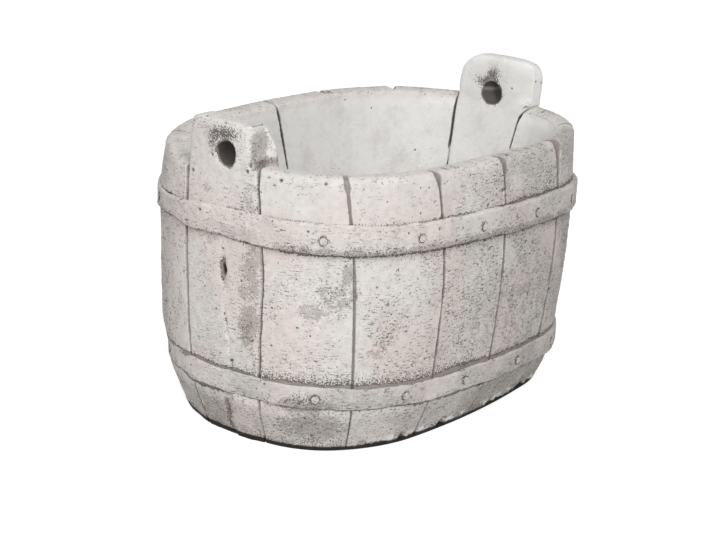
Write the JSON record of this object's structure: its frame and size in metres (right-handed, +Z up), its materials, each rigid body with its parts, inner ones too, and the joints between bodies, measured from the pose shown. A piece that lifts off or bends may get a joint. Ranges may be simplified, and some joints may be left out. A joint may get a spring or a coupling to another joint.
{
  "type": "oval tub planter",
  "caption": "Oval concrete planter in the form of a staved tub with raised ears, rope holes and two nailed hoops, for plants.",
  "frame": {"origin": "middle of the underside, on the surface the planter stands on", "axes": "+Z up; +X from the left ear to the right ear, along the oval's length; -Y towards the front staves"},
  "size_m": [0.5002, 0.3534, 0.336],
  "materials": {
    "stave_concrete": "weathered cast concrete",
    "hoop_concrete": "weathered cast concrete",
    "nail_concrete": "weathered cast concrete",
    "floor_concrete": "rough cast concrete"
  },
  "bodies": {
    "root": {"left_ear_stave": "stave_concrete", "right_ear_stave": "stave_concrete", "front_stave_1": "stave_concrete", "front_stave_2": "stave_concrete", "front_stave_3": "stave_concrete", "front_stave_4": "stave_concrete", "front_stave_5": "stave_concrete", "front_stave_6": "stave_concrete", "back_stave_1": "stave_concrete", "back_stave_2": "stave_concrete", "back_stave_3": "stave_concrete", "back_stave_4": "stave_concrete", "back_stave_5": "stave_concrete", "back_stave_6": "stave_concrete", "upper_hoop": "hoop_concrete", "lower_hoop": "hoop_concrete", "upper_hoop_nails": "nail_concrete", "lower_hoop_nails": "nail_concrete", "floor_slab": "floor_concrete"}
  },
  "joints": []
}
